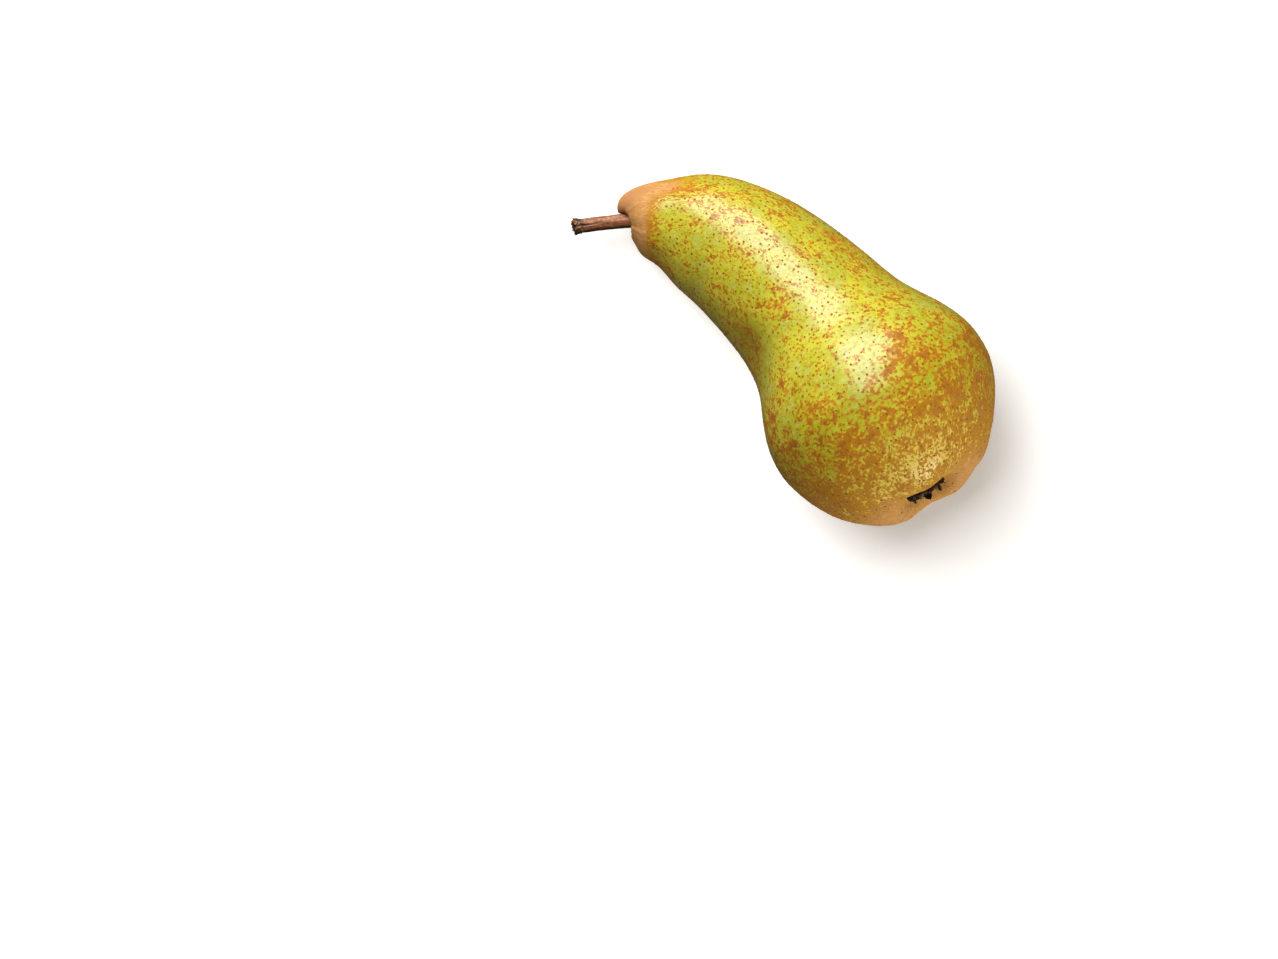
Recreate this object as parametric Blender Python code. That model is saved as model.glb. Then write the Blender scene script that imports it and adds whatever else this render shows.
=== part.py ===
"""A long-necked russeted pear lying on its side, with its woody stem and its dried calyx.

Every point is placed by three numbers: s, the distance along the pear's bent core line from
the foot of the stem; its distance out from that line; and phi, its angle round the line.
The core line bends sideways as a curved pear does, and its pitch is worked out so that the
belly and the neck both touch the surface below. Each of the two has a small flat spot there.
The origin is at the middle of the base of the bounding box, and +X points to the stem end.
"""

import bpy
import bmesh
import numpy as np

MM = 0.001

# Core line
FRUIT_LENGTH = 131.4 * MM  # from the foot of the stem to the rim round the calyx
BEND_DEGREES = 57.0  # how far the core line turns sideways in all
BEND_SPAN = 97.0 * MM  # the bend is over this far from the stem
BEND_EVENNESS = 2.1  # 1 is an even bend, more puts it towards the stem
LEVEL_SPAN = 52.0 * MM  # the neck levels off over this stretch
HEADING_DEGREES = 217.5  # direction of the core line at the stem's foot, from +X
STEEPEST_DEGREES = 40.0  # the pitch is sought between level and this

# Fruit
TIP_RADIUS = 10.1 * MM
TIP_AT = 1.9 * MM
NECK_RADIUS = 22.6 * MM
NECK_AT = 45.0 * MM
BULB_RADIUS = 36.7 * MM
BULB_TO_RIM = 31.9 * MM
BULB_AT = FRUIT_LENGTH - BULB_TO_RIM
# Points between two of the places above: the share of the way along, and of the change in radius
TIP_TO_NECK = ((0.13, 0.22), (0.35, 0.56), (0.65, 0.82))
NECK_TO_BULB = ((0.31, 0.15), (0.53, 0.34), (0.75, 0.75))
BULB_TO_CALYX = ((0.42, 0.145), (0.72, 0.42), (0.92, 0.715))
LOBE_RISE = 3.4 * MM  # the fleshy lobe that climbs one side of the stem
LOBE_RADIUS = 5.2 * MM
LOBE_SPREAD = 5.0 * MM
LOBE_BLUNTNESS = 4  # an even number: 2 is a pointed lobe, more is a blunter one
LOBE_LENGTH = 12.0 * MM
LOBE_NARROWNESS = 3.0
CREASE_DEPTH = 1.9 * MM  # the crease round the stem, away from the lobe
CREASE_WIDTH = 1.4 * MM
LUMP_SHARE = 0.008  # how uneven the fruit is, as a share of its radius
LUMP_LENGTH = 21.0 * MM
LUMP_FADE = 20.0 * MM
BELLY_FLAT_DEPTH = 0.75 * MM
NECK_FLAT_DEPTH = 0.3 * MM

# Calyx end
RIM_RADIUS = 14.6 * MM
RIM_LOBES = 5
RIM_LOBE_HEIGHT = 0.7 * MM
RIM_LOBE_LENGTH = 16.0 * MM
RIM_LOBE_EDGE = 4.0 * MM
RIM_LOBE_DEGREES = 88.0  # where the first lobe is
END_LEAN_DEGREES = -3.3
END_DRIFT = 3.5 * MM  # how far the core line drifts to one side at the calyx end
END_DRIFT_SPAN = 26.0 * MM
BASIN_DEPTH = 3.6 * MM
EYE_RADIUS = 6.0 * MM  # tips of the dried sepals
CALYX_ROOT_RADIUS = 3.3 * MM
CALYX_ROOT_DEPTH = 3.0 * MM
CALYX_HOLLOW_RADIUS = 2.3 * MM
CALYX_LIP_WIDTH = 0.9 * MM
CALYX_LIP_HEIGHT = 0.7 * MM
CALYX_FLOOR = 1.2 * MM  # thickness under the hollow
SEPAL_THICKNESS = 0.8 * MM
SEPAL_NOTCH = 0.28  # depth of the notch between two sepals, as a share of EYE_RADIUS

# Stem
STEM_LENGTH = 19.3 * MM  # what stands out of the fruit
STEM_RADIUS = 2.0 * MM
STEM_FOOT_RADIUS = 2.3 * MM
STEM_KNOB_RADIUS = 2.65 * MM
STEM_KNOB_LENGTH = 3.0 * MM
STEM_SOCKET_DEPTH = 3.5 * MM
STEM_TURN_DEGREES = -5.5  # sideways
STEM_PITCH_DEGREES = -2.0  # the stem rises a little towards its cut end
STEM_BEND_LENGTH = 5.0 * MM
STEM_FOOT_LENGTH = 6.0 * MM

GAP = 0.3 * MM  # between pieces that touch

# Mesh
FRUIT_SIDES = 64
FRUIT_STEPS = 3  # rings from one point of the outline to the next
SOCKET_FLOOR_RINGS = 2
CALYX_SIDES = 40
STEM_SIDES = 20
STEM_RINGS = 22
LINE_STEP = 0.25 * MM
LINE_MARGIN = 10.0 * MM


def ease(x):
    """Goes smoothly from 0 at x = 0 to 1 at x = 1."""
    x = np.clip(x, 0.0, 1.0)
    return x * x * (3.0 - 2.0 * x)


def smooth_curve(points, steps):
    """Returns points on the natural cubic spline through these, steps to each interval."""
    points = np.array(points, float)
    knots = np.concatenate([[0.0], np.cumsum(np.linalg.norm(np.diff(points, axis=0), axis=1))])
    width = np.diff(knots)
    count = len(points)
    matrix = np.eye(count)
    right = np.zeros_like(points)
    for i in range(1, count - 1):
        matrix[i, i - 1 : i + 2] = width[i - 1], 2.0 * (width[i - 1] + width[i]), width[i]
        slope_after = (points[i + 1] - points[i]) / width[i]
        slope_before = (points[i] - points[i - 1]) / width[i - 1]
        right[i] = 6.0 * (slope_after - slope_before)
    bend = np.linalg.solve(matrix, right)
    found = []
    for i in range(count - 1):
        for t in np.arange(steps) / steps:
            a, b = 1.0 - t, t
            curve = (a**3 - a) * bend[i] + (b**3 - b) * bend[i + 1]
            found.append(a * points[i] + b * points[i + 1] + curve * width[i] ** 2 / 6.0)
    found.append(points[-1])
    return np.array(found)


def between(first, last, shares):
    """Returns the points at these shares of the way from first to last."""
    return [
        (first[0] + along * (last[0] - first[0]), first[1] + out * (last[1] - first[1]))
        for along, out in shares
    ]


def fruit_outline():
    """Returns (s, radius) from the lip of the stem's socket to the lip of the calyx's seat."""
    tip = (TIP_AT, TIP_RADIUS)
    neck = (NECK_AT, NECK_RADIUS)
    bulb = (BULB_AT, BULB_RADIUS)
    rim = (FRUIT_LENGTH, RIM_RADIUS)
    floor = FRUIT_LENGTH - BASIN_DEPTH
    return [
        (-1.4 * MM, STEM_FOOT_RADIUS + GAP),
        (-1.3 * MM, 0.46 * TIP_RADIUS),
        (0.1 * MM, 0.75 * TIP_RADIUS),
        tip,
        *between(tip, neck, TIP_TO_NECK),
        neck,
        *between(neck, bulb, NECK_TO_BULB),
        bulb,
        *between(bulb, rim, BULB_TO_CALYX),
        rim,
        (FRUIT_LENGTH - 0.28 * BASIN_DEPTH, EYE_RADIUS + 4.0 * MM),
        (floor + 0.17 * BASIN_DEPTH, EYE_RADIUS + 1.7 * MM),
        (floor, EYE_RADIUS + 0.4 * MM),
    ]


class CoreLine:
    """The bent line through the middle of the stem and the fruit, at a given pitch."""

    def __init__(self, pitch):
        self.pitch = pitch
        self.s = np.arange(-STEM_LENGTH - LINE_MARGIN, FRUIT_LENGTH + LINE_MARGIN, LINE_STEP)
        fruit_s = np.clip(self.s, 0.0, BEND_SPAN) / BEND_SPAN
        stem_s = ease(-self.s / STEM_BEND_LENGTH)
        turned = BEND_DEGREES * (1.0 - (1.0 - fruit_s) ** BEND_EVENNESS)
        heading = np.radians(HEADING_DEGREES - turned - STEM_TURN_DEGREES * stem_s)
        level = ease(self.s / LEVEL_SPAN)
        rise = pitch * level + np.radians(STEM_PITCH_DEGREES) * stem_s
        self.ahead = np.stack(
            [np.cos(heading) * np.cos(rise), np.sin(heading) * np.cos(rise), np.sin(rise)], axis=1
        )
        self.point = np.cumsum(self.ahead, axis=0) * LINE_STEP
        side = np.stack([-np.sin(heading), np.cos(heading), np.zeros_like(heading)], axis=1)
        self.side = side
        self.up = np.cross(self.ahead, side)
        drift = END_DRIFT * ease(1.0 - (FRUIT_LENGTH - self.s) / END_DRIFT_SPAN)
        self.point = self.point - drift[:, None] * side

    def read(self, values, s):
        return np.stack([np.interp(s, self.s, values[:, i]) for i in range(3)], axis=-1)

    def place(self, s, radius, phi):
        """Returns points at these distances along and from the line; phi 0 is to the side."""
        across = np.cos(phi)[..., None] * self.read(self.side, s)
        across = across + np.sin(phi)[..., None] * self.read(self.up, s)
        return self.read(self.point, s) + radius[..., None] * across


def settled_line(s, radius, phi):
    """Finds the pitch at which the belly and the neck come down to their flat spots."""
    on_neck = s < 0.5 * (NECK_AT + BULB_AT)
    low, high = 0.0, np.radians(STEEPEST_DEGREES)
    for _ in range(30):
        line = CoreLine(0.5 * (low + high))
        height = line.place(s, radius, phi)[..., 2]
        if height[on_neck].min() - height[~on_neck].min() > BELLY_FLAT_DEPTH - NECK_FLAT_DEPTH:
            low = line.pitch
        else:
            high = line.pitch
    return line


def tip_lobe(s, radius, phi):
    """Returns how far the flesh climbs the stem at phi 0, less its crease on the other side."""
    round_stem = (0.5 + 0.5 * np.cos(phi)) ** LOBE_NARROWNESS
    from_lip = radius - STEM_FOOT_RADIUS - GAP
    crease = CREASE_DEPTH * (1.0 - round_stem) * np.exp(-((from_lip / CREASE_WIDTH) ** 2))
    across = np.exp(-(((radius - LOBE_RADIUS) / LOBE_SPREAD) ** LOBE_BLUNTNESS))
    return (LOBE_RISE * round_stem * across - crease) * (1.0 - ease(s / LOBE_LENGTH))


def rim_lobes(s, radius, phi):
    """Returns how far the low lobes round the calyx stand out."""
    round_rim = np.cos(RIM_LOBES * (phi - np.radians(RIM_LOBE_DEGREES)))
    outside_eye = ease((radius - EYE_RADIUS) / RIM_LOBE_EDGE)
    near_end = ease(1.0 - (FRUIT_LENGTH - s) / RIM_LOBE_LENGTH)
    return RIM_LOBE_HEIGHT * round_rim * outside_eye * near_end


def end_lean(s, radius, phi):
    """Returns the shift along the core line that makes the calyx end lean to one side."""
    near_end = ease((s - BULB_AT) / (FRUIT_LENGTH - BULB_AT))
    return -radius * np.cos(phi) * np.tan(np.radians(END_LEAN_DEGREES)) * near_end


def lumps(s, phi):
    """Returns the low swells along and round the fruit, as a share of its radius."""
    swells = np.sin(2.0 * phi + s / LUMP_LENGTH) + 0.6 * np.sin(3.0 * phi + 1.0 - 1.6 * s / LUMP_LENGTH)
    off_tip = ease(s / LUMP_FADE)
    off_end = 1.0 - ease((s - BULB_AT) / LUMP_FADE)
    return LUMP_SHARE * swells * off_tip * off_end


def grown(s, radius, phi):
    """Moves points of the plain turned shape to where the uneven fruit has them."""
    rim = rim_lobes(s, radius, phi)
    uneven = radius * (1.0 + lumps(s, phi))
    return s - tip_lobe(s, radius, phi) + rim + end_lean(s, radius, phi), uneven


def add_skin(bm, rings):
    """Adds a closed body: a quad skin over the rings, with a point at each end."""
    rows = [[bm.verts.new(point) for point in ring] for ring in rings]
    sides = len(rows[0])
    for near, far in zip(rows, rows[1:]):
        for i in range(sides):
            j = (i + 1) % sides
            bm.faces.new((near[i], near[j], far[j], far[i]))
    for row in (rows[0], rows[-1]):
        centre = bm.verts.new(np.mean([vert.co for vert in row], axis=0))
        for i in range(sides):
            bm.faces.new((centre, row[i], row[(i + 1) % sides]))


def cut_flat_spots(bm):
    """Takes away what reaches below z = 0 and closes each cut with one flat face."""
    everything = bm.verts[:] + bm.edges[:] + bm.faces[:]
    bmesh.ops.bisect_plane(
        bm, geom=everything, dist=1e-7, plane_co=(0, 0, 0), plane_no=(0, 0, 1), clear_inner=True
    )
    rims = [edge for edge in bm.edges if edge.is_boundary]
    bmesh.ops.holes_fill(bm, edges=rims, sides=0)


def new_piece(name, rings, colour, roughness):
    bm = bmesh.new()
    add_skin(bm, rings)
    cut_flat_spots(bm)
    bmesh.ops.recalc_face_normals(bm, faces=bm.faces)
    mesh = bpy.data.meshes.new(name)
    bm.to_mesh(mesh)
    bm.free()
    mesh.shade_smooth()
    mesh.set_sharp_from_angle(angle=np.radians(50.0))
    material = bpy.data.materials.new(name)
    material.use_nodes = True
    shader = material.node_tree.nodes["Principled BSDF"]
    shader.inputs["Base Color"].default_value = (*colour, 1.0)
    shader.inputs["Roughness"].default_value = roughness
    mesh.materials.append(material)
    piece = bpy.data.objects.new(name, mesh)
    bpy.context.scene.collection.objects.link(piece)
    return piece


def grid(outline, sides):
    """Returns s, radius and phi for every point of the rings that this outline makes."""
    outline = np.array(outline)
    phi = np.arange(sides) * 2.0 * np.pi / sides
    s = np.repeat(outline[:, :1], sides, axis=1)
    radius = np.repeat(outline[:, 1:], sides, axis=1)
    return s, radius, np.broadcast_to(phi, s.shape)


def fruit_grid():
    """The socket for the stem, the outside of the fruit, and the seat for the calyx."""
    socket = STEM_FOOT_RADIUS + GAP
    floor = FRUIT_LENGTH - BASIN_DEPTH
    seat = CALYX_ROOT_RADIUS + GAP
    outline = [(STEM_SOCKET_DEPTH, 0.5 * socket), (STEM_SOCKET_DEPTH, socket)]
    outline += list(smooth_curve(fruit_outline(), FRUIT_STEPS))
    outline += [(floor, seat), (floor - CALYX_ROOT_DEPTH, seat)]
    outline += [(floor - CALYX_ROOT_DEPTH, 0.5 * seat)]
    s, radius, phi = grid(outline, FRUIT_SIDES)
    grown_s, grown_radius = grown(s, radius, phi)
    grown_s[:SOCKET_FLOOR_RINGS] = s[:SOCKET_FLOOR_RINGS]  # the socket keeps its depth
    return grown_s, grown_radius, phi


def calyx_rings(line):
    """A ring of five dried sepals round an open eye, on a root that sits in the fruit."""
    under = FRUIT_LENGTH - BASIN_DEPTH + GAP
    top = under + SEPAL_THICKNESS
    root = under - CALYX_ROOT_DEPTH
    outline = [
        (root, 0.5 * CALYX_ROOT_RADIUS),
        (root, CALYX_ROOT_RADIUS),
        (under, CALYX_ROOT_RADIUS),
        (under, EYE_RADIUS),
        (top, EYE_RADIUS),
        (top + CALYX_LIP_HEIGHT, CALYX_HOLLOW_RADIUS + CALYX_LIP_WIDTH),
        (top, CALYX_HOLLOW_RADIUS),
        (root + CALYX_FLOOR, 0.8 * CALYX_HOLLOW_RADIUS),
        (root + CALYX_FLOOR, 0.4 * CALYX_HOLLOW_RADIUS),
    ]
    s, radius, phi = grid(outline, CALYX_SIDES)
    point = np.abs(np.cos(0.5 * RIM_LOBES * (phi - np.radians(RIM_LOBE_DEGREES))))
    star = 1.0 - SEPAL_NOTCH * (1.0 - point)
    radius = np.where(radius >= EYE_RADIUS, radius * star, radius)
    return line.place(*grown(s, radius, phi), phi)


def stem_rings(line):
    """A woody stalk, wider at its foot and at the knob where it was picked."""
    foot = STEM_SOCKET_DEPTH - GAP
    along = np.linspace(foot, -STEM_LENGTH, STEM_RINGS)
    swell = 1.0 - ease(-along / STEM_FOOT_LENGTH)
    knob = ease(1.0 - (along + STEM_LENGTH) / STEM_KNOB_LENGTH)
    thick = STEM_RADIUS + (STEM_FOOT_RADIUS - STEM_RADIUS) * swell
    thick = thick + (STEM_KNOB_RADIUS - STEM_RADIUS) * knob
    outline = [(foot, 0.5 * STEM_FOOT_RADIUS), *zip(along, thick)]
    outline += [(-STEM_LENGTH, 0.5 * STEM_KNOB_RADIUS)]
    return line.place(*grid(outline, STEM_SIDES))


for old in list(bpy.data.objects):
    bpy.data.objects.remove(old)

fruit_places = fruit_grid()
core = settled_line(*fruit_places)
fruit = core.place(*fruit_places)
calyx = calyx_rings(core)
stem = stem_rings(core)
pieces = (fruit, calyx, stem)
lowest = np.min([piece.min(axis=(0, 1)) for piece in pieces], axis=0)
highest = np.max([piece.max(axis=(0, 1)) for piece in pieces], axis=0)
origin = 0.5 * (lowest + highest)
origin[2] = fruit[..., 2].min() + BELLY_FLAT_DEPTH

new_piece("fruit", fruit - origin, (0.42, 0.33, 0.04), 0.42)
new_piece("calyx", calyx - origin, (0.03, 0.02, 0.012), 0.85)
new_piece("stem", stem - origin, (0.14, 0.06, 0.03), 0.75)
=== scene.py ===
import bmesh
import bpy
import numpy as np
from mathutils import Matrix, Vector, noise


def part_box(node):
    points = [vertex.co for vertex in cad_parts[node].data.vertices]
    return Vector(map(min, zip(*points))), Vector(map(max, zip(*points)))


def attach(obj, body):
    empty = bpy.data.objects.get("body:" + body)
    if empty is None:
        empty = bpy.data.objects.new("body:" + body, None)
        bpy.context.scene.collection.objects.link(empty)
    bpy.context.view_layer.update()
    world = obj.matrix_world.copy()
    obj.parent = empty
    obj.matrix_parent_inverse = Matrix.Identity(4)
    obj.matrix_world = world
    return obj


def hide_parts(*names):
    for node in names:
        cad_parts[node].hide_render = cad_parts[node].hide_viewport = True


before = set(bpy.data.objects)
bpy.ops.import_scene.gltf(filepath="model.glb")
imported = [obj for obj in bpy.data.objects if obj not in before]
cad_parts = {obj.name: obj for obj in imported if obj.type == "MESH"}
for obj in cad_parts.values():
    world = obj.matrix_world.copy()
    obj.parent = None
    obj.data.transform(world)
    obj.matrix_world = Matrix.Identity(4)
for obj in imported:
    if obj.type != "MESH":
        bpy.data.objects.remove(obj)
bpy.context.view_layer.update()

MM = 0.001

# --------------------------------------
# The skin of the pear, flesh side left out: one closed, waxy, yellow-green skin that grew
# over the whole fruit, with rough brown russet over it in flecks and patches. It dips at
# the stem and at the calyx, and it is pressed flat where the fruit's weight rests.

# The fruit's design sizes. s is the distance along its bent core line from the stem's foot.
FRUIT_LENGTH = 131.4 * MM
BEND_DEGREES = 57.0
BEND_SPAN = 97.0 * MM  # the bend is over this far from the stem
BEND_EVENNESS = 2.1
LEVEL_SPAN = 52.0 * MM  # the neck levels off over this stretch
HEADING_DEGREES = 217.5
PITCH_DEGREES = 14.14
TIP_RADIUS = 10.1 * MM
TIP_AT = 1.9 * MM
NECK_RADIUS = 22.6 * MM
NECK_AT = 45.0 * MM
BULB_RADIUS = 36.7 * MM
BULB_TO_RIM = 31.9 * MM
BULB_AT = FRUIT_LENGTH - BULB_TO_RIM
TIP_TO_NECK = ((0.13, 0.22), (0.35, 0.56), (0.65, 0.82))
NECK_TO_BULB = ((0.31, 0.15), (0.53, 0.34), (0.75, 0.75))
BULB_TO_CALYX = ((0.42, 0.145), (0.72, 0.42), (0.92, 0.715))
LOBE_RISE = 3.4 * MM  # the fleshy lobe that climbs one side of the stem
LOBE_RADIUS = 5.2 * MM
LOBE_SPREAD = 5.0 * MM
LOBE_BLUNTNESS = 4
LOBE_LENGTH = 12.0 * MM
LOBE_NARROWNESS = 3.0
CREASE_DEPTH = 1.9 * MM  # the crease round the stem, away from the lobe
CREASE_WIDTH = 1.4 * MM
LUMP_SHARE = 0.008
LUMP_LENGTH = 21.0 * MM
LUMP_FADE = 20.0 * MM
RIM_RADIUS = 14.6 * MM
RIM_LOBES = 5
RIM_LOBE_HEIGHT = 0.7 * MM
RIM_LOBE_LENGTH = 16.0 * MM
RIM_LOBE_EDGE = 4.0 * MM
RIM_LOBE_TURN = np.radians(88.0)
END_LEAN = np.radians(-3.3)
END_DRIFT = 3.5 * MM  # how far the core line drifts to one side at the calyx end
END_DRIFT_SPAN = 26.0 * MM
BASIN_DEPTH = 3.6 * MM
BASIN_FLOOR = FRUIT_LENGTH - BASIN_DEPTH
EYE_RADIUS = 6.0 * MM  # of the opening that the dried calyx fills
CALYX_ROOT_RADIUS = 3.3 * MM
CALYX_ROOT_DEPTH = 3.0 * MM
STEM_LENGTH = 19.3 * MM  # what stands out of the fruit
STEM_RADIUS = 2.0 * MM
STEM_FOOT_RADIUS = 2.3 * MM
STEM_KNOB_RADIUS = 2.65 * MM
STEM_KNOB_LENGTH = 3.0 * MM
STEM_FOOT_LENGTH = 6.0 * MM
STEM_SOCKET_DEPTH = 3.5 * MM
STEM_TURN = np.radians(-5.5)
STEM_PITCH = np.radians(-2.0)
STEM_BEND_LENGTH = 5.0 * MM
GAP = 0.3 * MM  # between pieces that touch

SKIN_RINGS = 270
SKIN_SIDES = 288
OUTLINE_STEPS = 40
LINE_STEP = 0.25 * MM
LINE_MARGIN = 10.0 * MM
FLAT_EDGE = 0.5 * MM  # how softly the skin turns into its flat spots
GROWTH_RADIUS = 30.0 * MM  # the radius at which the skin's pattern is not stretched


def ease(x):
    """Goes smoothly from 0 at x = 0 to 1 at x = 1."""
    x = np.clip(x, 0.0, 1.0)
    return x * x * (3.0 - 2.0 * x)


def run_of(points):
    """Returns how far along its line each of these points is."""
    return np.concatenate([[0.0], np.cumsum(np.linalg.norm(np.diff(points, axis=0), axis=1))])


def smooth_curve(points, steps):
    """Returns points on the natural cubic spline through these, steps to each interval."""
    points = np.array(points, float)
    knots = run_of(points)
    width = np.diff(knots)
    matrix = np.eye(len(points))
    right = np.zeros_like(points)
    for i in range(1, len(points) - 1):
        matrix[i, i - 1 : i + 2] = width[i - 1], 2.0 * (width[i - 1] + width[i]), width[i]
        right[i] = (points[i + 1] - points[i]) / width[i] - (points[i] - points[i - 1]) / width[i - 1]
    bend = np.linalg.solve(matrix, 6.0 * right)
    found = []
    for i in range(len(points) - 1):
        for t in np.arange(steps) / steps:
            a, b = 1.0 - t, t
            curve = (a**3 - a) * bend[i] + (b**3 - b) * bend[i + 1]
            found.append(a * points[i] + b * points[i + 1] + curve * width[i] ** 2 / 6.0)
    found.append(points[-1])
    return np.array(found)


def evenly(points, count):
    """Returns count points spread evenly along this line."""
    along = run_of(points)
    wanted = np.linspace(0.0, along[-1], count)
    return np.stack([np.interp(wanted, along, points[:, i]) for i in range(points.shape[1])], axis=1)


def between(first, last, shares):
    """Returns the points at these shares of the way from first to last."""
    return [
        (first[0] + along * (last[0] - first[0]), first[1] + out * (last[1] - first[1]))
        for along, out in shares
    ]


def fruit_outline():
    """Returns (s, radius) from the lip of the stem's socket to the lip of the calyx's seat."""
    tip = (TIP_AT, TIP_RADIUS)
    neck = (NECK_AT, NECK_RADIUS)
    bulb = (BULB_AT, BULB_RADIUS)
    rim = (FRUIT_LENGTH, RIM_RADIUS)
    return [
        (-1.4 * MM, STEM_FOOT_RADIUS + GAP),
        (-1.3 * MM, 0.46 * TIP_RADIUS),
        (0.1 * MM, 0.75 * TIP_RADIUS),
        tip,
        *between(tip, neck, TIP_TO_NECK),
        neck,
        *between(neck, bulb, NECK_TO_BULB),
        bulb,
        *between(bulb, rim, BULB_TO_CALYX),
        rim,
        (FRUIT_LENGTH - 0.28 * BASIN_DEPTH, EYE_RADIUS + 4.0 * MM),
        (BASIN_FLOOR + 0.17 * BASIN_DEPTH, EYE_RADIUS + 1.7 * MM),
        (BASIN_FLOOR, EYE_RADIUS + 0.4 * MM),
    ]


class CoreLine:
    """The bent line through the middle of the stem and the fruit."""

    def __init__(self):
        self.s = np.arange(-STEM_LENGTH - LINE_MARGIN, FRUIT_LENGTH + LINE_MARGIN, LINE_STEP)
        fruit_s = np.clip(self.s, 0.0, BEND_SPAN) / BEND_SPAN
        stem_s = ease(-self.s / STEM_BEND_LENGTH)
        turned = np.radians(BEND_DEGREES) * (1.0 - (1.0 - fruit_s) ** BEND_EVENNESS)
        heading = np.radians(HEADING_DEGREES) - turned - STEM_TURN * stem_s
        rise = np.radians(PITCH_DEGREES) * ease(self.s / LEVEL_SPAN) + STEM_PITCH * stem_s
        ahead = (np.cos(heading) * np.cos(rise), np.sin(heading) * np.cos(rise), np.sin(rise))
        side = (-np.sin(heading), np.cos(heading), np.zeros_like(heading))
        self.ahead = np.stack(ahead, axis=1)
        self.side = np.stack(side, axis=1)
        self.point = np.cumsum(self.ahead, axis=0) * LINE_STEP
        self.up = np.cross(self.ahead, self.side)
        drift = END_DRIFT * ease(1.0 - (FRUIT_LENGTH - self.s) / END_DRIFT_SPAN)
        self.point = self.point - drift[:, None] * self.side

    def read(self, values, s):
        """Returns what this list of vectors along the line says at these distances."""
        return np.stack([np.interp(s, self.s, values[:, i]) for i in range(3)], axis=-1)

    def place(self, s, radius, phi):
        """Returns points at these distances along and from the line; phi 0 is to the side."""
        across = np.cos(phi)[..., None] * self.read(self.side, s)
        across = across + np.sin(phi)[..., None] * self.read(self.up, s)
        return self.read(self.point, s) + radius[..., None] * across


def grown(s, radius, phi):
    """Moves points of the plain turned shape to where the uneven fruit has them."""
    round_stem = (0.5 + 0.5 * np.cos(phi)) ** LOBE_NARROWNESS
    across = np.exp(-(((radius - LOBE_RADIUS) / LOBE_SPREAD) ** LOBE_BLUNTNESS))
    from_lip = radius - STEM_FOOT_RADIUS - GAP
    crease = CREASE_DEPTH * (1.0 - round_stem) * np.exp(-((from_lip / CREASE_WIDTH) ** 2))
    lobe = (LOBE_RISE * round_stem * across - crease) * (1.0 - ease(s / LOBE_LENGTH))
    rim = RIM_LOBE_HEIGHT * np.cos(RIM_LOBES * (phi - RIM_LOBE_TURN))
    rim = rim * ease((radius - EYE_RADIUS) / RIM_LOBE_EDGE)
    rim = rim * ease(1.0 - (FRUIT_LENGTH - s) / RIM_LOBE_LENGTH)
    near_end = ease((s - BULB_AT) / (FRUIT_LENGTH - BULB_AT))
    lean = -radius * np.cos(phi) * np.tan(END_LEAN) * near_end
    swells = np.sin(2.0 * phi + s / LUMP_LENGTH) + 0.6 * np.sin(3.0 * phi + 1.0 - 1.6 * s / LUMP_LENGTH)
    swells = swells * ease(s / LUMP_FADE) * (1.0 - ease((s - BULB_AT) / LUMP_FADE))
    uneven = radius * (1.0 + LUMP_SHARE * swells)
    return s - lobe + rim + lean, uneven


def skin_rings():
    """Returns s, radius and phi of the skin's points, and their growth along the skin."""
    socket = STEM_FOOT_RADIUS + GAP
    seat = CALYX_ROOT_RADIUS + GAP
    outside = evenly(smooth_curve(fruit_outline(), OUTLINE_STEPS), SKIN_RINGS)
    inside = [(STEM_SOCKET_DEPTH, 0.5 * socket), (STEM_SOCKET_DEPTH, socket)]
    seated = [(BASIN_FLOOR, seat), (BASIN_FLOOR - CALYX_ROOT_DEPTH, seat)]
    seated.append((BASIN_FLOOR - CALYX_ROOT_DEPTH, 0.5 * seat))
    outline = np.concatenate([inside, outside, seated])
    along = run_of(outline)
    phi = np.linspace(0.0, 2.0 * np.pi, SKIN_SIDES, endpoint=False)
    shape = (len(outline), SKIN_SIDES)
    s = np.broadcast_to(outline[:, :1], shape)
    radius = np.broadcast_to(outline[:, 1:], shape)
    phi = np.broadcast_to(phi, shape)
    along = np.broadcast_to(along[:, None], shape)
    grown_s, grown_radius = grown(s, radius, phi)
    grown_s[:2] = s[:2]
    return s, phi, along, grown_s, grown_radius


def mesh_of_rings(name, rings):
    """Makes a closed mesh: a quad skin over the rings, with a fan and its point at each end."""
    count, sides = rings.shape[:2]
    points = with_ends(rings)
    faces = []
    for i in range(count - 1):
        for j in range(sides):
            k = (j + 1) % sides
            faces.append((i * sides + j, i * sides + k, (i + 1) * sides + k, (i + 1) * sides + j))
    last = (count - 1) * sides
    for j in range(sides):
        k = (j + 1) % sides
        faces.append((count * sides, k, j))
        faces.append((count * sides + 1, last + j, last + k))
    mesh = bpy.data.meshes.new(name)
    mesh.from_pydata(points.tolist(), [], faces)
    bm = bmesh.new()
    bm.from_mesh(mesh)
    bmesh.ops.recalc_face_normals(bm, faces=bm.faces)
    bm.to_mesh(mesh)
    bm.free()
    mesh.shade_smooth()
    return mesh


def placed(name, data):
    """Adds an object with this mesh, curve, camera or lamp to the scene."""
    piece = bpy.data.objects.new(name, data)
    bpy.context.scene.collection.objects.link(piece)
    return piece


def read_vectors(items, name="co"):
    """Reads a vector of each of these vertices or normals."""
    values = np.zeros(len(items) * 3)
    items.foreach_get(name, values)
    return values.reshape(-1, 3)


def write_points(mesh, points):
    mesh.vertices.foreach_set("co", points.ravel())
    mesh.update()


def write_attribute(mesh, name, values):
    """Stores a number or a vector at each vertex."""
    kind = "FLOAT" if values.ndim == 1 else "FLOAT_VECTOR"
    field = "value" if values.ndim == 1 else "vector"
    mesh.attributes.new(name, kind, "POINT").data.foreach_set(field, values.astype(np.float32).ravel())


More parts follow.
